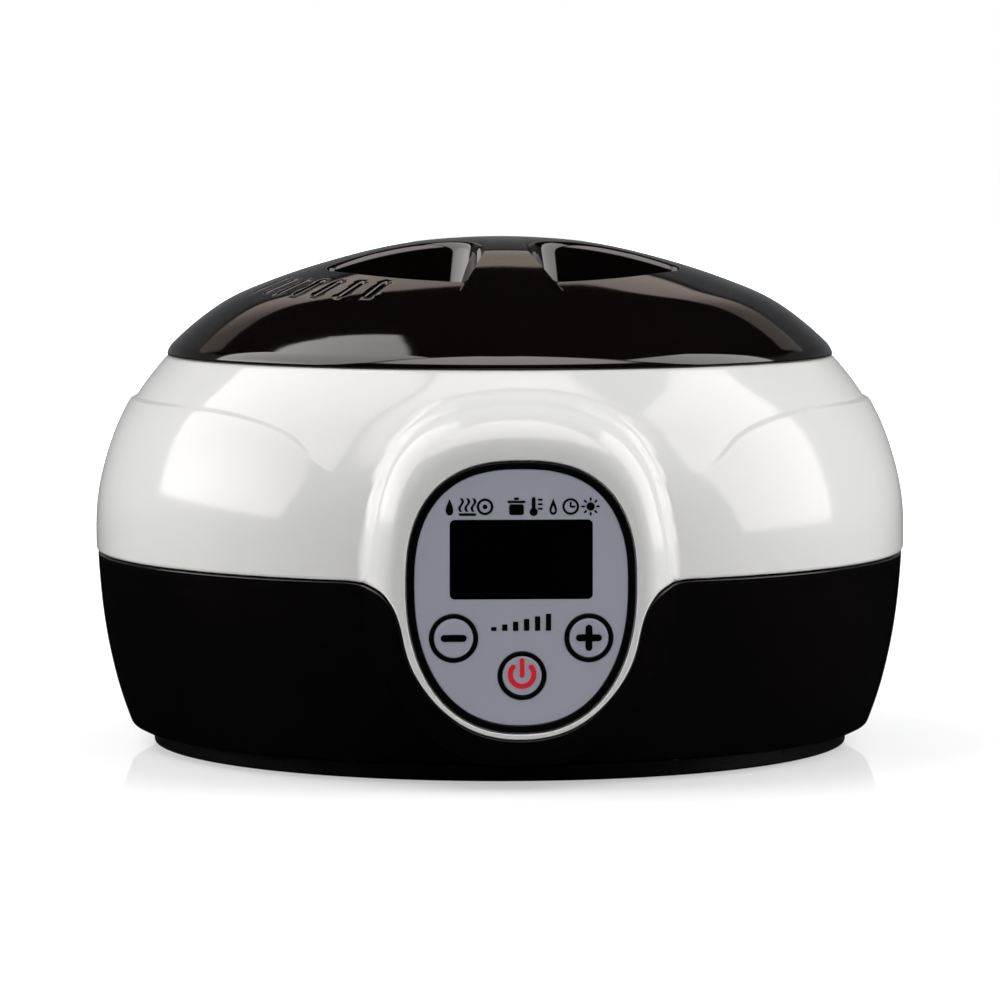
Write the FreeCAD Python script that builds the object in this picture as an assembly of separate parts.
import FreeCAD, Part
import math
import os
from FreeCAD import Vector as V

# Single-pot paraffin wax heater: a round two-part housing with a control panel nose in front,
# a heated well holding the wax pot, a domed lid, and the electrical parts inside.
# Millimetres, +Z up, front faces -Y, +X to the right as seen from the front.
# Origin: centre of the plan, on the table plane under the rubber feet.

os.makedirs("parts", exist_ok=True)

SIDES = (-1, 1)
CLEAR = 0.02             # clearance between parts that rest on each other


def corners(x, y):
    """four points placed symmetrically about the centre"""
    return [(sx * x, sy * y) for sx in SIDES for sy in SIDES]


# ---------------------------------------------------------------- dimensions
# housing
SEAM_Z = 52.5            # level of the joint between upper and lower housing
SEAM_GAP = 0.35          # visible shadow gap in that joint
LOWER_INSET = 0.35       # lower housing sits this far inside the upper one
BASE_EDGE_INSET = 0.9    # further inset of the lower housing at its bottom edge
WALL = 2.4
BASE_Z = 5.0             # underside of the lower housing
FLOOR_T = 2.4            # lower housing floor
RIM_Z = 105.2            # top rim of the upper housing
RIM_IN_R = 88.0          # inside radius of the rim
DECK_Z = 102.5           # top of the deck inside the rim
DECK_T = 2.4
DECK_UNDER = DECK_Z - DECK_T
WELL_OPEN_R = 60.0       # opening in the deck

# nose and panel outline
NOSE_Y = 114.0           # distance of the nose front plane from the centre
NOSE_WALL = 4.0
PANEL_ZC = 52.4          # panel outline centre height
PANEL_HALF_W = 28.8
PANEL_UP = 31.1          # panel half height above centre
PANEL_DOWN = 37.3        # panel half height below centre
PANEL_POWER_UP = 2.52    # superellipse exponents
PANEL_POWER_DOWN = 2.28
LIP_W = 1.6              # raised lip round the panel
FLANK_W_SIDE = 9.0       # width of the rounded flank of the nose, sides
FLANK_W_TOP = 13.0       # ... and top
FLANK_DEPTH = 15.0
FLANK_LIMIT = 0.985      # share of the flank width after which it runs on straight
BLEND = 15.0             # size of the blend between nose and body

# control panel
RECESS_OUT = 0.35        # panel recess beyond the panel outline
RECESS_Y = 112.2         # floor of the panel recess
PANEL_BACK = -RECESS_Y - 0.03
BEZEL_W = 1.9
WIN_W, WIN_H, WIN_Z = 36.0, 20.1, 58.85
BUTTON_R, SEAL_R, SEAL_IN_R = 4.9, 6.15, 5.0
BUTTONS = {"minus": (-17.0, 39.1), "plus": (17.0, 39.1), "power": (0.2, 29.6)}  # x, z
BOARD_Y0, BOARD_Y1 = -101.6, -100.0
BOARD_BOSSES = [(-19.0, 77.0), (19.0, 77.0), (-12.5, 22.0), (12.5, 22.0)]       # x, z
SWITCH_FRONT = -105.1

# heated well and pot
WELL_R = 56.5            # inside radius
WELL_T = 1.2
WELL_OUT_R = WELL_R + WELL_T
WELL_FLOOR = 41.0        # top of the well floor
GASKET_TOP = DECK_Z + 0.6
FLANGE_TOP = GASKET_TOP + 1.0
BAND_IN_R = WELL_OUT_R + 0.05
BAND_R = WELL_OUT_R + 1.55
POT_R = 55.0             # outside radius of the wax pot
POT_T = 1.0
POT_FLANGE_R = 61.5
POT_BOTTOM = 41.1
POT_FLANGE_Z0 = FLANGE_TOP + 0.1
POT_FLANGE_Z1 = FLANGE_TOP + 1.1
BAIL_Z = 109.5           # bail pivot height
BAIL_R = 55.0
BAIL_WIRE = 1.5          # wire radius

# base, power board and inlet
FOOT_R = 94.5            # recessed base ring
BASE_TOP = BASE_Z - 0.15
FEET = corners(63.5, 48.0)
POWER_X, POWER_Y0, POWER_Y1, POWER_Z0, POWER_Z1 = 35.0, 18.0, 78.0, 14.0, 15.6
POWER_POSTS = [(-31.0, 22.0), (31.0, 22.0), (-31.0, 74.0), (31.0, 74.0)]
ON_POWER = POWER_Z1 + CLEAR
TERMINAL_XS = (-12, -4, 4, 12)
INLET_Y, INLET_Z = 114.0, 28.0
INLET_SCREW_X = 13.6
INLET_PIN_X = 4.3

# screw positions in plan
HOUSING_POSTS = corners(80.8, 29.4)
BASE_SCREWS = corners(42.0, 72.7)
WELL_SCREWS = [(65.0 * math.sin(math.radians(a)), -65.0 * math.cos(math.radians(a)))
               for a in (60, 180, 300)]

# lid
LID_R = 90.5
LID_T = 2.2
LID_Z0 = 105.25
POCKET_FLOOR = 117.0


# ------------------------------------------------------------- basic shapes
def cyl(r, z0, z1, x=0.0, y=0.0):
    return Part.makeCylinder(r, z1 - z0, V(x, y, z0), V(0, 0, 1))


def cyl_y(r, y0, y1, x=0.0, z=0.0):
    return Part.makeCylinder(r, y1 - y0, V(x, y0, z), V(0, 1, 0))


def cyl_x(r, x0, x1, y=0.0, z=0.0):
    return Part.makeCylinder(r, x1 - x0, V(x0, y, z), V(1, 0, 0))


def cyls(r, z0, z1, points):
    """equal upright cylinders at (x, y) points"""
    return [cyl(r, z0, z1, x, y) for x, y in points]


def cyls_y(r, y0, y1, points):
    """equal cylinders along Y at (x, z) points"""
    return [cyl_y(r, y0, y1, x, z) for x, z in points]


def box(x0, x1, y0, y1, z0, z1):
    return Part.makeBox(x1 - x0, y1 - y0, z1 - z0, V(x0, y0, z0))


def span(side, near, far):
    """X limits, low first, of a strip on one side of the centre"""
    return sorted((side * near, side * far))


def ring(outer_r, inner_r, z0, z1):
    return cyl(outer_r, z0, z1).cut(cyl(inner_r, z0 - 1, z1 + 1))


def group(solids):
    return Part.makeCompound(solids)


def spin(face, angle=360):
    return face.revolve(V(0, 0, 0), V(0, 0, 1), angle)


def revolve(points):
    """solid of revolution about Z from (r, z) corner points"""
    return spin(Part.Face(Part.makePolygon([V(r, 0, z) for r, z in points + points[:1]])))


def spline_curve(points, **options):
    curve = Part.BSplineCurve()
    curve.interpolate(Points=points, **options)
    return curve


def edges_along_y(shape):
    return [e for e in shape.Edges if abs(e.Vertexes[0].Y - e.Vertexes[1].Y) > 1]


def rounded_plate(w, h, r, y0, y1, z):
    """plate facing Y with rounded corners, centred on x = 0"""
    plate = box(-w / 2, w / 2, y0, y1, z - h / 2, z + h / 2)
    return plate.makeFillet(r, edges_along_y(plate))


def pipe(points, r):
    """round lead through points"""
    points = [V(*p) for p in points]
    curve = spline_curve(points)
    start = curve.tangent(curve.FirstParameter)[0]
    circle = Part.Wire([Part.makeCircle(r, points[0], start)])
    return Part.Wire([curve.toShape()]).makePipeShell([circle], True, True)


def screw(x, y, head, shank, slot, cross=True):
    """upright screw; head and shank are (radius, z0, z1), slot is (half length, z0, z1)"""
    half, z0, z1 = slot
    solid = cyl(*head, x, y).fuse(cyl(*shank, x, y))
    solid = solid.cut(box(x - half, x + half, y - 0.35, y + 0.35, z0, z1))
    if cross:
        solid = solid.cut(box(x - 0.35, x + 0.35, y - half, y + half, z0, z1))
    return solid


def largest_solid(shape):
    if len(shape.Faces) < 400:
        shape = shape.removeSplitter()
    return max(shape.Solids, key=lambda solid: solid.Volume)


def save(name, built):
    """write one piece: a list becomes a group of solids, a shape a single solid"""
    shape = group(built) if isinstance(built, list) else largest_solid(built)
    shape.exportStep("parts/%s.step" % name)


# ----------------------------------------------------------- housing surface
def natural_spline(table):
    """natural cubic spline through (x, y) rows, held constant beyond its ends"""
    xs, ys = zip(*table)
    count = len(xs)
    gaps = [xs[i + 1] - xs[i] for i in range(count - 1)]
    slopes = [(ys[i + 1] - ys[i]) / gaps[i] for i in range(count - 1)]
    diagonal = [1.0] * count
    above = [0.0] * count
    right = [0.0] * count
    for i in range(1, count - 1):
        factor = gaps[i - 1] / diagonal[i - 1]
        above[i] = gaps[i]
        diagonal[i] = 2.0 * (gaps[i - 1] + gaps[i]) - factor * above[i - 1]
        right[i] = 6.0 * (slopes[i] - slopes[i - 1]) - factor * right[i - 1]
    bend = [0.0] * count     # second derivatives at the points
    for i in range(count - 2, 0, -1):
        bend[i] = (right[i] - above[i] * bend[i + 1]) / diagonal[i]

    def value(x):
        x = min(max(x, xs[0]), xs[-1])
        i = 0
        while i < count - 2 and x > xs[i + 1]:
            i += 1
        gap = gaps[i]
        t = x - xs[i]
        u = xs[i + 1] - x
        return ((bend[i] * u ** 3 + bend[i + 1] * t ** 3) / (6 * gap)
                + (ys[i] / gap - bend[i] * gap / 6) * u
                + (ys[i + 1] / gap - bend[i + 1] * gap / 6) * t)
    return value


# height, body radius without the shoulder step
body_profile = natural_spline([
    (5, 100.6), (13, 103.5), (22, 105.95), (33, 108.05), (45, 109.4), (57, 110.0),
    (68, 109.4), (78, 107.15), (88, 103.5), (97, 98.35), (105.2, 91.8)])

# degrees from the front, level of the shoulder ledge
ledge_curve = natural_spline([
    (24.0, 78.5), (27.5, 80.8), (30.0, 83.4), (33.0, 87.2), (37.0, 90.0),
    (41.0, 91.6), (46.0, 92.9), (53.0, 93.7), (62.0, 94.0), (90.0, 94.0)])

# degrees from the front of the section points, fine across the nose
_half = [1.25 * i for i in range(23)] + [
    28.5, 30.5, 33.0, 36.0, 40.0, 46.0, 53.0, 61.0, 70.0, 80.0, 90.0,
    100.0, 110.0, 120.0, 130.0, 140.0, 150.0, 160.0, 170.0]
ANGLES = [-a for a in reversed(_half[1:])] + _half + [180.0]
ANGLE_PARAMETERS = ANGLES + [ANGLES[0] + 360.0]


def ease(t):
    """smooth step from 0 to 1"""
    t = min(max(t, 0.0), 1.0)
    return t * t * (3 - 2 * t)


def smooth_max(a, b, size):
    h = max(size - abs(a - b), 0.0) / size
    return max(a, b) + h * h * h * size / 6.0


def ledge_z(angle):
    return 94.0 if abs(angle) >= 62.0 else ledge_curve(abs(angle))


def round_radius(angle, z, above_ledge, inner):
    """radius of the housing without its nose"""
    step = 1.2 * ease((z - 72.0) / 18.0)
    if inner:
        slope = (body_profile(z + 0.2) - body_profile(z - 0.2)) / 0.4
        return body_profile(z) - step - WALL * math.sqrt(1.0 + slope * slope)
    filled = 0.0 if above_ledge else ease((abs(angle) - 24.0) / 12.0)
    return body_profile(z) - step * (1.0 - filled)


def outline_radius(phi, grow=0.0):
    """distance from the panel centre to its outline along direction phi"""
    c, s = math.cos(phi), math.sin(phi)
    if s >= 0:
        half_h, power = PANEL_UP + grow, PANEL_POWER_UP
    else:
        half_h, power = PANEL_DOWN + grow, PANEL_POWER_DOWN
    half_w = PANEL_HALF_W + grow
    return 1.0 / ((abs(c) / half_w) ** power + (abs(s) / half_h) ** power) ** (1.0 / power)


def nose_reach(x, z, inner):
    """forward reach of the nose at (x, z), and the blend size there"""
    dz = z - PANEL_ZC
    phi = math.atan2(dz, x)
    beyond = math.hypot(x, dz) - outline_radius(phi, LIP_W)
    front = NOSE_Y
    if inner:
        beyond += WALL
        front = NOSE_Y - NOSE_WALL
    if beyond <= 0:
        return front, 0.01
    upward = max(0.0, math.sin(phi))
    flank_w = FLANK_W_SIDE + (FLANK_W_TOP - FLANK_W_SIDE) * ease((upward - 0.35) / 0.6)
    blend = BLEND * ease(beyond / (0.85 * flank_w)) + 0.01
    limit = FLANK_LIMIT * flank_w
    if beyond <= limit:
        drop = FLANK_DEPTH * (1.0 - math.sqrt(1.0 - (beyond / flank_w) ** 2))
        return front - drop, blend
    root = math.sqrt(1.0 - FLANK_LIMIT ** 2)
    slope = FLANK_DEPTH / flank_w * FLANK_LIMIT / root
    return front - FLANK_DEPTH * (1.0 - root) - slope * (beyond - limit), blend


def housing_radius(angle, z, above_ledge, inner, inset):
    """radius of the whole housing surface, found by bisection across the nose"""
    round_r = round_radius(angle, z, above_ledge, inner)
    if abs(angle) > 40.0:
        return round_r - inset
    turn = math.radians(angle)
    low, high = round_r * 0.9, 135.0
    for _ in range(40):
        r = 0.5 * (low + high)
        x = r * math.sin(turn)
        body_reach = math.sqrt(max(round_r * round_r - x * x, 0.0))
        if r * math.cos(turn) > smooth_max(body_reach, *nose_reach(x, z, inner)):
            high = r
        else:
            low = r
    return 0.5 * (low + high) - inset


def section(height_at, above_ledge=False, inner=False, inset=0.0):
    """closed smooth section wire; height_at gives the height at each angle"""
    points = []
    for angle in ANGLES:
        z = height_at(angle)
        r = housing_radius(angle, z, above_ledge, inner, inset)
        turn = math.radians(angle)
        points.append(V(r * math.sin(turn), -r * math.cos(turn), z))
    curve = spline_curve(points, PeriodicFlag=True, Parameters=ANGLE_PARAMETERS)
    return Part.Wire([curve.toShape()])


def flat(z):
    return lambda angle: z


def loft(sections):
    """ruled solid through the sections"""
    return Part.makeLoft(sections, True, True)


# ------------------------------------------------------------ housing solids
FLAT_TOP = 75.0          # highest level section below the ledge
LEDGE_HALF = 0.4         # the ledge slopes between this far below and above its level

OUTER_ZS = (12.0, 14.0, 16.0, 18.0, 20.0, 23.0, 27.0, 32.0, 38.0, 45.0, 52.0, 58.0, 64.0,
            70.0, FLAT_TOP)
LOWER_ZS = (BASE_Z, 6.0, 7.5, 9.5, 12.0, 15.0, 18.0, 22.0, 28.0, 36.0, 45.0, 56.0)
CAVITY_ZS = (BASE_Z + FLOOR_T, 9.5, 12.0, 15.0, 19.0, 25.0, 33.0, 44.0, 56.0, 66.0, 74.0,
             80.0, 84.0, 87.0, 90.0, 92.0, 94.0, 96.0, 98.0, DECK_UNDER)

# x, z of the seam in front view, from one side to the bottom centre
SEAM = [(44.0, SEAM_Z), (42.0, 52.35), (39.3, 51.9), (36.1, 50.7), (33.3, 48.0),
        (31.5, 45.0), (30.3, 41.5), (29.4, 37.3), (28.1, 32.9), (26.2, 28.9),
        (23.2, 24.6), (20.0, 21.1), (16.6, 18.3), (12.5, 15.9), (7.0, 14.1), (0.0, 13.4)]


def upper_outside():
    def below(share):
        return lambda a: FLAT_TOP + share * (ledge_z(a) - LEDGE_HALF - FLAT_TOP)

    def above(share):
        return lambda a: ledge_z(a) + LEDGE_HALF + share * (RIM_Z - ledge_z(a) - LEDGE_HALF)

    rows = [section(flat(z)) for z in OUTER_ZS]
    rows += [section(below(share)) for share in (0.5, 1.0)]
    rows += [section(above(i / 10), above_ledge=True) for i in range(11)]
    return loft(rows)


def lower_outside():
    rows = []
    for z in LOWER_ZS:
        inset = LOWER_INSET + (BASE_EDGE_INSET if z == BASE_Z else 0.0)
        rows.append(section(flat(z), inset=inset))
    return loft(rows)


def cavity():
    return loft([section(flat(z), inner=True) for z in CAVITY_ZS])


def seam_points(offset):
    """seam line from -X to +X, moved outwards (downwards) by offset"""
    full = [(-x, z) for x, z in SEAM] + SEAM[-2::-1]
    moved = []
    for i, (x, z) in enumerate(full):
        tx, tz, length = 1.0, 0.0, 1.0      # the two ends run level
        if 0 < i < len(full) - 1:
            tx = full[i + 1][0] - full[i - 1][0]
            tz = full[i + 1][1] - full[i - 1][1]
            length = math.hypot(tx, tz)
        moved.append(V(x + tz / length * offset, -130, z - tx / length * offset))
    return moved


def upper_zone(offset):
    """space above the seam"""
    points = seam_points(offset)
    seam = spline_curve(points, InitialTangent=V(1, 0, 0), FinalTangent=V(1, 0, 0))
    z = points[0].z
    outer = [points[-1], V(130, -130, z), V(130, -130, 140), V(-130, -130, 140),
             V(-130, -130, z)]
    edges = [Part.makeLine(outer[-1], points[0]), seam.toShape()]
    edges += [Part.makeLine(p, q) for p, q in zip(outer, outer[1:])]
    front = Part.Face(Part.Wire(edges)).extrude(V(0, 130, 0))
    return front.fuse(box(-130, 130, 0, 130, z, 140))


def outline_plate(grow, y0, y1):
    """panel shaped plate between two Y planes"""
    points = []
    for i in range(72):
        phi = 2 * math.pi * i / 72
        r = outline_radius(phi, grow)
        points.append(V(r * math.cos(phi), y0, PANEL_ZC + r * math.sin(phi)))
    wire = Part.Wire([spline_curve(points, PeriodicFlag=True).toShape()])
    return Part.Face(wire).extrude(V(0, y1 - y0, 0))


def upper_housing():
    nose_back = -NOSE_Y + NOSE_WALL
    upper = upper_outside().cut(cavity()).common(upper_zone(0.0))
    upper = upper.cut(cyl(RIM_IN_R, DECK_Z, RIM_Z + 5))
    upper = upper.cut(cyl(WELL_OPEN_R, 90, RIM_Z + 5))
    upper = upper.cut(outline_plate(RECESS_OUT, -NOSE_Y - 3, -RECESS_Y))
    upper = upper.cut(rounded_plate(WIN_W - 1.0, WIN_H - 1.0, 1.2, -NOSE_Y - 1, -104, WIN_Z))
    # bosses for the control board, the lower housing and the well
    upper = upper.fuse(cyls_y(2.8, nose_back - 0.5, BOARD_Y0 - 0.05, BOARD_BOSSES)
                       + cyls(4.2, 46.1, DECK_UNDER + 0.5, HOUSING_POSTS)
                       + cyls(3.2, 92.5, DECK_UNDER + 0.5, WELL_SCREWS))
    # their screw holes, and the button holes
    return upper.cut(group(cyls_y(1.25, nose_back + 1.0, BOARD_Y0 + 1, BOARD_BOSSES)
                           + cyls(1.5, 45, 64, HOUSING_POSTS)
                           + cyls(1.5, 93.5, DECK_Z + 1, WELL_SCREWS)
                           + cyls_y(2.3, -NOSE_Y - 1, -104, BUTTONS.values())))


def vent_slots(z0, z1):
    """row of nine slots in the floor, running front to back"""
    front, back, r = -58.0, -26.0, 1.5
    slots = []
    for i in range(-4, 5):
        x = 7.5 * i
        slots.append(box(x - r, x + r, front, back, z0, z1).fuse(
            [cyl(r, z0, z1, x, front), cyl(r, z0, z1, x, back)]))
    return slots


def lower_housing():
    lower = lower_outside().cut(cavity()).cut(upper_zone(SEAM_GAP))
    inlet_pad = box(-19, 19, 98, INLET_Y - 2.05, INLET_Z - 10, INLET_Z + 10)
    inlet_pad = inlet_pad.makeFillet(3.0, edges_along_y(inlet_pad))
    lower = lower.fuse([inlet_pad]
                       + cyls(4.8, BASE_Z + 1, 45.6, HOUSING_POSTS)
                       + cyls(3.6, BASE_Z + 1, 15.0, BASE_SCREWS)
                       + cyls(3.0, BASE_Z + 1, POWER_Z0 - 0.05, POWER_POSTS))
    cuts = vent_slots(BASE_Z - 1, BASE_Z + FLOOR_T + 1)
    for x, y in HOUSING_POSTS:              # head well and shank hole
        cuts += [cyl(3.2, BASE_Z - 1, 36.0, x, y), cyl(1.7, 30, 47, x, y)]
    cuts += cyls(1.5, BASE_Z - 1, 14.0, BASE_SCREWS)
    cuts += cyls(1.2, BASE_Z + 2.6, POWER_Z0 + 1, POWER_POSTS)
    cuts.append(box(-10.4, 10.4, 90, INLET_Y, INLET_Z - 6.4, INLET_Z + 6.4))
    cuts += [cyl_y(1.25, 100, INLET_Y, s * INLET_SCREW_X, INLET_Z) for s in SIDES]
    return lower.cut(group(cuts))


# ----------------------------------------------- base plate, feet and screws
def base_plate():
    plate = revolve([(0, 2.6), (89.0, 2.6), (90.9, 0.3), (93.9, 0.3), (94.35, 0.45),
                     (FOOT_R, 0.9), (FOOT_R, BASE_TOP), (0, BASE_TOP)])
    plate = plate.cut(group(vent_slots(0, 8)))
    plate = plate.cut(group(cyls(1.7, 0, 8, BASE_SCREWS)))
    return plate.cut(group(cyls(3.2, 0, 3.6, BASE_SCREWS)))


def rubber_feet():
    feet = []
    for foot in cyls(8.0, 0.0, 2.55, FEET):
        bottom = [e for e in foot.Edges if abs(e.BoundBox.ZMax) < 1e-6]
        feet.append(foot.makeFillet(0.8, bottom))
    return feet


def base_screws():
    return [screw(x, y, head=(2.9, 1.7, 3.58), shank=(1.45, 3.5, 12.5), slot=(2.2, 1.0, 2.5))
            for x, y in BASE_SCREWS]


def housing_screws():
    return [screw(x, y, head=(2.9, 33.6, 35.98), shank=(1.45, 35.9, 62.0),
                  slot=(2.2, 33.0, 34.6)) for x, y in HOUSING_POSTS]


# --------------------------------------------------------------- heated well
def heater_well():
    under = WELL_FLOOR - WELL_T
    well = revolve([
        (0, under), (WELL_OUT_R - 4, under), (WELL_OUT_R - 1.2, under + 1.2),
        (WELL_OUT_R, WELL_FLOOR + 3), (WELL_OUT_R, GASKET_TOP), (68.5, GASKET_TOP),
        (68.5, FLANGE_TOP), (WELL_R, FLANGE_TOP), (WELL_R, WELL_FLOOR + 3.4),
        (WELL_R - 1.0, WELL_FLOOR + 1.0), (WELL_R - 3.4, WELL_FLOOR), (0, WELL_FLOOR)])
    well = well.fuse(cyl(4.0, 35.4, WELL_FLOOR - 0.5))      # boss for the sensor bracket
    return well.cut(group(cyls(1.7, DECK_Z - 1, FLANGE_TOP + 1, WELL_SCREWS)
                          + [cyl(1.25, 35, 39.2)]))


def well_gasket():
    gasket = ring(68.0, WELL_OUT_R + 0.3, DECK_Z + CLEAR, GASKET_TOP - CLEAR)
    return gasket.cut(group(cyls(1.8, DECK_Z - 1, FLANGE_TOP + 1, WELL_SCREWS)))


def well_screws():
    top = FLANGE_TOP
    return [screw(x, y, head=(2.6, top + CLEAR, top + 1.7), shank=(1.45, 95.0, top + 0.5),
                  slot=(2.0, top + 0.9, top + 3)) for x, y in WELL_SCREWS]


# heater band, clamp and insulation, all open at the rear
CLAMP_Z0, CLAMP_Z1 = 66, 72
CLAMP_SCREW = {"y": BAND_R + 4.2, "z": 69}


def heater_band():
    return ring(BAND_R, BAND_IN_R, 50, 88).cut(box(-5.0, 5.0, 40, 80, 40, 100))


def band_clamp():
    clamp = ring(BAND_R + 0.75, BAND_R + 0.05, CLAMP_Z0, CLAMP_Z1)
    clamp = clamp.cut(box(-4.2, 4.2, 40, 80, 60, 80))
    for s in SIDES:
        clamp = clamp.fuse(box(*span(s, 3.6, 4.6), BAND_R - 0.6, BAND_R + 7.0,
                               CLAMP_Z0, CLAMP_Z1))
    return clamp.cut(cyl_x(1.2, -8, 8, **CLAMP_SCREW))


def clamp_screw():
    bolt = cyl_x(1.12, -5.6, 7.0, **CLAMP_SCREW).fuse(cyl_x(2.2, 4.62, 6.6, **CLAMP_SCREW))
    return bolt.fuse(cyl_x(2.3, -6.6, -4.62, **CLAMP_SCREW))


def insulation_wrap():
    return ring(BAND_R + 4.4, BAND_R + 0.85, 47, 92).cut(box(-9, 9, 40, 80, 40, 100))


# temperature sensing under the well
SENSOR_Z = 37.6


def thermistor():
    return cyl_x(2.1, -18.5, -10.0, 0, SENSOR_Z)


def thermal_fuse():
    return cyl_x(2.1, 9.5, 20.0, 0, SENSOR_Z)


def sensor_bracket():
    bracket = box(-22, 22, -4.5, 4.5, 34.55, 35.35).cut(cyl(1.4, 30, 40))
    for s in SIDES:
        bracket = bracket.fuse(box(*span(s, 21.2, 22.0), -4.5, 4.5, 34.55, 39.6))
    return bracket


def bracket_screw():
    return screw(0, 0, head=(2.4, 32.8, 34.53), shank=(1.2, 34.4, 38.6), slot=(1.9, 32, 33.6),
                 cross=False)


# ------------------------------------------------------------- control panel
def faceplate():
    face = outline_plate(-BEZEL_W - 0.05, -113.5, PANEL_BACK)
    face = face.cut(rounded_plate(WIN_W, WIN_H, 1.3, -120, -100, WIN_Z))
    return face.cut(group(cyls_y(SEAL_R + 0.03, -120, -100, BUTTONS.values())))


def panel_bezel():
    return outline_plate(-0.02, -113.75, PANEL_BACK).cut(outline_plate(-BEZEL_W, -120, -100))


def display_lens():
    return rounded_plate(WIN_W - 0.1, WIN_H - 0.1, 1.25, -113.45, PANEL_BACK, WIN_Z)


def button_seals():
    return [cyl_y(SEAL_R, -113.7, PANEL_BACK, x, z).cut(cyl_y(SEAL_IN_R, -120, -100, x, z))
            for x, z in BUTTONS.values()]


def button(x, z):
    """cap with a rounded front edge, stem and collar"""
    front = -113.85
    cap = cyl_y(BUTTON_R, front, -112.9, x, z)
    cap = cap.makeFillet(0.3, [e for e in cap.Edges if abs(e.BoundBox.YMax - front) < 1e-6])
    cap = cap.fuse(cyl_y(2.15, -113.2, -106.35, x, z))
    return cap.fuse(cyl_y(3.0, -109.9, -109.1, x, z))


def plunger(x, z):
    return cyl_y(1.7, -106.3, SWITCH_FRONT + 0.4, x, z)


def tact_switches():
    switches = []
    for x, z in BUTTONS.values():
        body = box(x - 3, x + 3, SWITCH_FRONT, BOARD_Y0 - CLEAR, z - 3, z + 3)
        switches.append(body.cut(cyl_y(1.8, SWITCH_FRONT - 1, SWITCH_FRONT + 1.4, x, z)))
    return switches


def control_board():
    outline = [(-24, 80.5), (24, 80.5), (24, 31), (14.5, 18), (-14.5, 18), (-24, 31),
               (-24, 80.5)]                 # x, z
    face = Part.Face(Part.makePolygon([V(x, BOARD_Y0, z) for x, z in outline]))
    board = face.extrude(V(0, BOARD_Y1 - BOARD_Y0, 0))
    board = board.makeFillet(2.0, edges_along_y(board))
    return board.cut(group(cyls_y(1.5, -110, -90, BOARD_BOSSES)))


def board_screws():
    screws = []
    for x, z in BOARD_BOSSES:
        head = cyl_y(2.5, BOARD_Y1 + CLEAR, BOARD_Y1 + 1.8, x, z)
        shank = cyl_y(1.2, BOARD_Y0 - 6.5, BOARD_Y1 + 0.5, x, z)
        slot = box(x - 1.9, x + 1.9, BOARD_Y1 + 1.0, BOARD_Y1 + 3, z - 0.35, z + 0.35)
        screws.append(head.fuse(shank).cut(slot))
    return screws


def display_module():
    return box(-18.8, 18.8, BOARD_Y0 - 8.0, BOARD_Y0 - CLEAR, WIN_Z - 9.5, WIN_Z + 9.5)


def controller_chip():
    """body with six legs on each side"""
    chip = box(-6, 6, BOARD_Y1 + 0.35, BOARD_Y1 + 2.5, 44, 54)
    for i in range(6):
        z = 45.25 + 1.5 * i
        for s in SIDES:
            chip = chip.fuse(box(*span(s, 5.9, 7.4), BOARD_Y1 + CLEAR, BOARD_Y1 + 0.9,
                                 z - 0.3, z + 0.3))
    return chip


def ribbon_headers():
    """one on the control board, one on the power board"""
    return [box(-8, 8, BOARD_Y1 + CLEAR, BOARD_Y1 + 6.0, 27, 33),
            box(-8, 8, 20.0, 26.0, ON_POWER, POWER_Z1 + 6.0)]


# ---------------------------------------------------------------- power side
def power_board():
    board = box(-POWER_X, POWER_X, POWER_Y0, POWER_Y1, POWER_Z0, POWER_Z1)
    return board.cut(group(cyls(1.5, 10, 20, POWER_POSTS)))


def power_board_screws():
    top = POWER_Z1
    return [screw(x, y, head=(2.5, ON_POWER, top + 1.8), shank=(1.15, 9.5, top + 0.5),
                  slot=(1.9, top + 1.0, top + 3), cross=False) for x, y in POWER_POSTS]


def relay():
    body = box(-30, -11, 40, 55.5, ON_POWER, POWER_Z1 + 15.3)
    return body.makeFillet(0.8, body.Edges)


def supply_capacitor():
    body = box(-4, 14, 47, 55.5, ON_POWER, POWER_Z1 + 14.0)
    return body.makeFillet(1.0, body.Edges)


def mains_fuse():
    """fuse barrel on two clips"""
    r, y, z = 2.6, 36, POWER_Z1 + 4.6
    fuse = cyl_x(r, -2, 18, y, z)
    for x in (-2.4, 14.4):
        clip = box(x, x + 4, y - 3, y + 3, ON_POWER, z)
        fuse = fuse.fuse(clip.cut(cyl_x(r, x - 1, x + 5, y, z)))
    return fuse


def terminal_block():
    """screw wells on top, lead openings at the front"""
    block = box(-16, 16, 64, 73, ON_POWER, POWER_Z1 + 10.0)
    block = block.cut(group([cyl(1.9, POWER_Z1 + 6, POWER_Z1 + 12, x, 70.5)
                             for x in TERMINAL_XS]))
    return block.cut(group([box(x - 2, x + 2, 62, 66, POWER_Z1 + 1.5, POWER_Z1 + 5.5)
                            for x in TERMINAL_XS]))


def power_inlet():
    inlet = rounded_plate(34.0, 16.0, 3.0, INLET_Y - 2.0, INLET_Y, INLET_Z)
    inlet = inlet.fuse(box(-10, 10, INLET_Y - 18, INLET_Y - 1, INLET_Z - 6, INLET_Z + 6))
    inlet = inlet.cut(rounded_plate(15.0, 8.6, 4.2, INLET_Y - 12, INLET_Y + 1, INLET_Z))
    for s in SIDES:
        screw_x = s * INLET_SCREW_X
        inlet = inlet.cut(cyl_y(1.6, INLET_Y - 5, INLET_Y + 1, screw_x, INLET_Z))
        inlet = inlet.cut(cyl_y(2.5, INLET_Y - 1.1, INLET_Y + 1, screw_x, INLET_Z))
        inlet = inlet.cut(cyl_y(1.25, INLET_Y - 20, INLET_Y - 8, s * INLET_PIN_X, INLET_Z))
    return inlet


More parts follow.
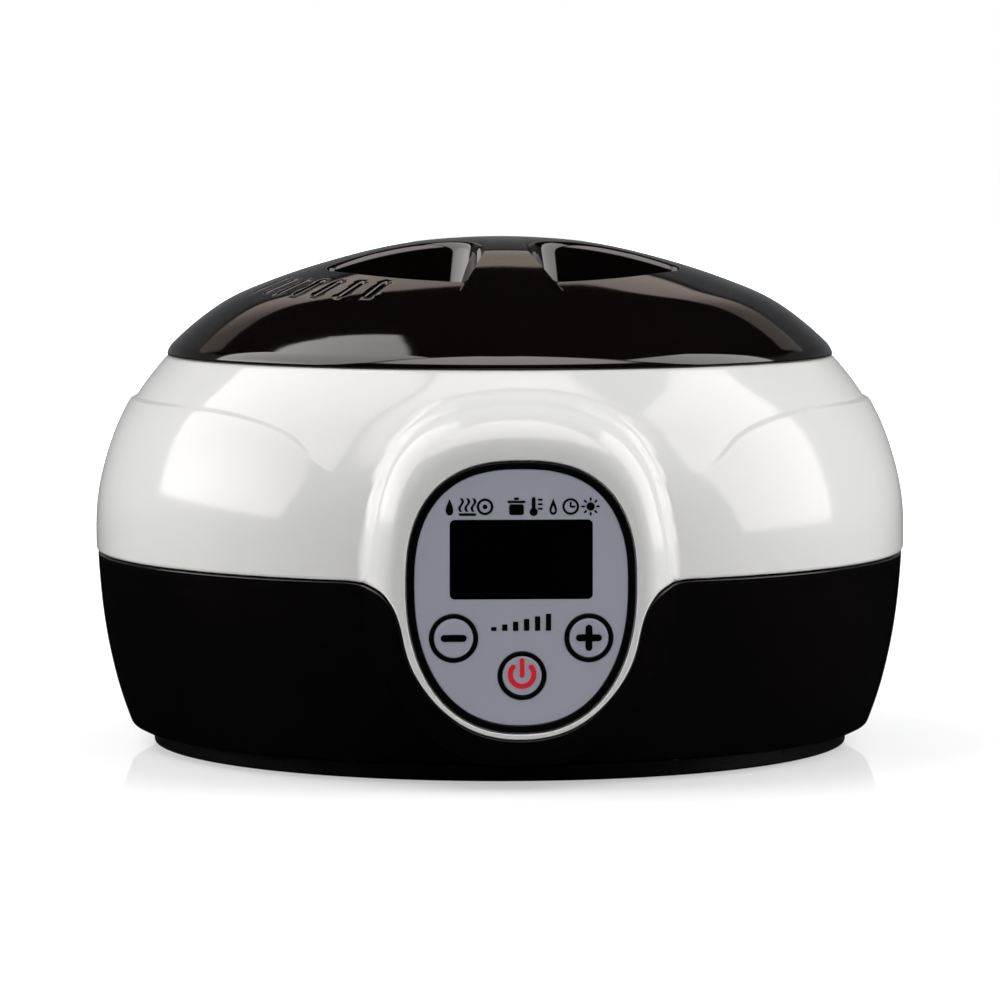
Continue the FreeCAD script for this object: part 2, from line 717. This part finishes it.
def inlet_pins():
    tip = INLET_Y - 3
    pins = []
    for s in SIDES:
        pin = cyl_y(1.2, INLET_Y - 22, tip, s * INLET_PIN_X, INLET_Z)
        rounded = [e for e in pin.Edges if abs(e.BoundBox.YMin - tip) < 1e-6]
        pins.append(pin.makeFillet(0.6, rounded))
    return pins


def inlet_screws():
    y, z = INLET_Y, INLET_Z
    screws = []
    for s in SIDES:
        x = s * INLET_SCREW_X
        solid = cyl_y(1.2, y - 11, y - 1.0, x, z).fuse(cyl_y(2.4, y - 1.08, y - 0.1, x, z))
        for dx, dz in ((1.8, 0.3), (0.3, 1.8)):
            solid = solid.cut(box(x - dx, x + dx, y - 0.6, y + 1, z - dz, z + dz))
        screws.append(solid)
    return screws


# --------------------------------------------------------------------- leads
def mains_leads():
    y, z = INLET_Y - 22.1, POWER_Z1 + 4.5
    leads = [pipe([(-4.3, y, INLET_Z), (-5, 88, 27.0), (-8, 84, 22.0), (-12, 80, z),
                   (-12, 73.1, z)], 1.1),
             pipe([(4.3, y, INLET_Z), (4.6, 88, 27.0), (4.4, 84, 22.0), (4, 80, z),
                   (4, 73.1, z)], 1.1)]
    return [lead.cut(group(inlet_pins())).cut(terminal_block()) for lead in leads]


def heater_leads():
    y, z = BAND_R - 1.0, POWER_Z1 + 10.1
    return [pipe([(-3.6, y, 55.0), (-3.4, 66, 52), (-3.0, 69, 42), (-3.6, 72.0, 34),
                  (-4, 70.5, z)], 0.9),
            pipe([(3.6, y, 58.0), (4.4, 67, 54), (8.0, 70, 42), (11.4, 72.0, 34),
                  (12, 70.5, z)], 0.9)]


def sensor_lead():
    lead = pipe([(-14, -2.2, 37.0), (-16, -9, 33.2), (-20, -30, 26), (-20, -60, 27),
                 (-16, -82, 35), (-15, -99.9, 40)], 0.8)
    return [lead.cut(sensor_bracket())]


def ribbon_cable():
    y = -93.9
    path = [(0, y, 30), (0, -88, 30), (0, -80, 22), (0, -60, 12.5), (0, -20, 11.0),
            (0, 10, 14.0), (0, 19.9, 19.0)]
    flat_section = Part.makePolygon([V(-6, y, 29.6), V(6, y, 29.6), V(6, y, 30.4),
                                     V(-6, y, 30.4), V(-6, y, 29.6)])
    spine = Part.Wire([spline_curve([V(*p) for p in path]).toShape()])
    return spine.makePipeShell([flat_section], True, False)


# ------------------------------------------------------------------- wax pot
def wax_pot():
    return revolve([
        (0, POT_BOTTOM), (POT_R - 4.5, POT_BOTTOM), (POT_R - 1.3, POT_BOTTOM + 1.3),
        (POT_R, POT_BOTTOM + 4.5), (POT_R, POT_FLANGE_Z0), (POT_FLANGE_R, POT_FLANGE_Z0),
        (POT_FLANGE_R, POT_FLANGE_Z1), (POT_R - POT_T, POT_FLANGE_Z1),
        (POT_R - POT_T, POT_BOTTOM + 5.0), (POT_R - 2.2, POT_BOTTOM + 2.2),
        (POT_R - 5.0, POT_BOTTOM + POT_T), (0, POT_BOTTOM + POT_T)])


def bail_ears():
    """upright tabs with a foot on the pot flange and a pivot hole"""
    foot_z = POT_FLANGE_Z1 + CLEAR
    ears = []
    for s in SIDES:
        x0, x1 = span(s, 57.6, 58.8)
        ear = box(x0, x1, -4.0, 4.0, foot_z, BAIL_Z)
        ear = ear.fuse(cyl_x(4.0, x0, x1, 0, BAIL_Z))
        ear = ear.fuse(box(*span(s, 57.6, 61.3), -4.0, 4.0, foot_z, POT_FLANGE_Z1 + 1.0))
        ear = ear.cut(cyl_x(BAIL_WIRE + 0.08, x0 - 1, x1 + 1, 0, BAIL_Z))
        ears.append(largest_solid(ear))
    return ears


def bail_torus(r):
    return Part.makeTorus(BAIL_R, r, V(0, 0, BAIL_Z), V(0, 0, 1))


def bail_handle():
    """wire half circle lying level round the front, with pivots and end heads"""
    arch = bail_torus(BAIL_WIRE).cut(box(-80, 80, 0, 80, 90, 130))
    return arch.fuse([cyl_x(BAIL_WIRE, -60.4, -BAIL_R, 0, BAIL_Z),
                      cyl_x(BAIL_WIRE, BAIL_R, 60.4, 0, BAIL_Z),
                      Part.makeSphere(BAIL_WIRE, V(-BAIL_R, 0, BAIL_Z)),
                      Part.makeSphere(BAIL_WIRE, V(BAIL_R, 0, BAIL_Z)),
                      cyl_x(2.3, -61.0, -60.2, 0, BAIL_Z),
                      cyl_x(2.3, 60.2, 61.0, 0, BAIL_Z)])


def bail_grip():
    """sleeve over the middle of the bail, oval in section"""
    half_angle = 26
    centre = V(BAIL_R, 0, BAIL_Z)
    oval = Part.Wire([Part.Ellipse(centre, 4.2, 2.5).toShape()])
    oval.rotate(centre, V(1, 0, 0), 90)
    face = Part.Face(oval)
    face.rotate(V(0, 0, 0), V(0, 0, 1), -90 - half_angle)
    return spin(face, 2 * half_angle).cut(bail_torus(BAIL_WIRE + 0.05))


# ----------------------------------------------------------------------- lid
# r, z of the curved profiles, from the centre outwards
LID_OUTER = [(0, 137.35), (12.0, 136.95), (24.3, 135.75), (36.0, 133.45), (45.7, 130.9),
             (56.5, 127.55), (65.3, 124.3), (72.6, 121.1), (78.0, 117.8), (82.4, 114.5),
             (86.25, 111.2), (89.2, 108.4), (90.3, 106.7)]
LID_INNER = [(0, 134.95), (12.0, 134.55), (24.0, 133.35), (35.5, 131.1), (45.0, 128.5),
             (55.6, 125.2), (64.3, 122.0), (71.3, 118.8), (76.5, 115.7), (80.6, 112.6),
             (84.2, 109.4), (86.2, 107.2), (86.3, 106.9)]
SLOT_ANGLES = (-33, -40, -47.5, -54, -61, -68, -76)
SLOT_W = 1.9


def dome_solid(curved, straight):
    """solid of revolution under a curved profile, closed by straight edges"""
    edges = [spline_curve([V(r, 0, z) for r, z in curved]).toShape()]
    tail = [curved[-1]] + straight + [curved[0]]
    edges += [Part.makeLine(V(r0, 0, z0), V(r1, 0, z1))
              for (r0, z0), (r1, z1) in zip(tail, tail[1:])]
    return spin(Part.Face(Part.Wire(edges)))


def pocket(sx, sy, grow, z0):
    """finger pocket beside the cross-shaped grip; modelled front right, then mirrored"""
    arc = []
    start, end = 14.0 - grow * 0.9, 67.0 + grow * 0.9       # degrees from the front
    for i in range(9):
        t = i / 8.0
        turn = math.radians(start + (end - start) * t)
        r = 57.5 + grow - 5.0 * t
        arc.append(V(r * math.sin(turn), -r * math.cos(turn), z0))
    tail = [arc[-1], V(22.0, -16.6 + grow, z0), V(5.9 - grow, -15.0 + grow, z0), arc[0]]
    edges = [spline_curve(arc).toShape()]
    edges += [Part.makeLine(p, q) for p, q in zip(tail, tail[1:])]
    solid = Part.Face(Part.Wire(edges)).extrude(V(0, 0, 30))
    # guards the roundings: where the kernel can't make one, the pocket stays as far as it got
    try:
        upright = [e for e in solid.Edges
                   if abs(e.Vertexes[0].X - e.Vertexes[-1].X) < 1e-6
                   and abs(e.Vertexes[0].Y - e.Vertexes[-1].Y) < 1e-6 and e.Length > 20]
        solid = solid.makeFillet(3.0 + grow, upright)
        bottom = [e for e in solid.Edges if abs(e.BoundBox.ZMax - z0) < 1e-6]
        solid = solid.makeFillet(2.0 + grow, bottom)
    except Exception:
        pass
    if (sx, sy) != (1, 1):
        mirror = FreeCAD.Matrix()
        mirror.scale(sx, sy, 1)
        solid = solid.transformGeometry(mirror)
    return solid


def lid_slots():
    """radial slots through the front left of the dome"""
    near, far, r = -60.3, -68.0, SLOT_W / 2
    slots = []
    for angle in SLOT_ANGLES:
        slot = box(-r, r, far, near, 112, 135)
        slot = slot.fuse([cyl(r, 112, 135, 0, far), cyl(r, 112, 135, 0, near)])
        slot.rotate(V(0, 0, 0), V(0, 0, 1), angle)
        slots.append(slot)
    return slots


def lid():
    dome = dome_solid(LID_OUTER, [(LID_R, 105.9), (90.2, LID_Z0), (0, LID_Z0)])
    hollow = dome_solid(LID_INNER, [(86.3, LID_Z0 - 5), (0, LID_Z0 - 5)])
    quarters = [(sx, sy) for sx in (1, -1) for sy in (1, -1)]
    shell = dome.cut(hollow)
    for sx, sy in quarters:                 # pocket walls, then the pockets themselves
        shell = shell.fuse(pocket(sx, sy, LID_T, POCKET_FLOOR - LID_T).common(dome))
    for sx, sy in quarters:
        shell = shell.cut(pocket(sx, sy, 0.0, POCKET_FLOOR))
    shell = shell.fuse(ring(87.3, 85.3, LID_Z0 - 2.0, 107.6))   # locating lip
    return shell.cut(group(lid_slots()))


# ---------------------------------------------------------------- all pieces
# each piece is written under the name of its function
PIECES = [
    upper_housing, lower_housing, base_plate, rubber_feet, base_screws, housing_screws,
    heater_well, well_gasket, well_screws, heater_band, band_clamp, clamp_screw,
    insulation_wrap, thermistor, thermal_fuse, sensor_bracket, bracket_screw,
    faceplate, panel_bezel, display_lens, button_seals, tact_switches, control_board,
    board_screws, display_module, controller_chip, ribbon_headers,
    power_board, power_board_screws, relay, supply_capacitor, mains_fuse, terminal_block,
    power_inlet, inlet_pins, inlet_screws, mains_leads, heater_leads, sensor_lead,
    ribbon_cable, wax_pot, bail_ears, bail_handle, bail_grip, lid]

for piece in PIECES:
    save(piece.__name__, piece())
for name, (x, z) in BUTTONS.items():
    save("button_" + name, button(x, z))
    save("plunger_" + name, plunger(x, z))
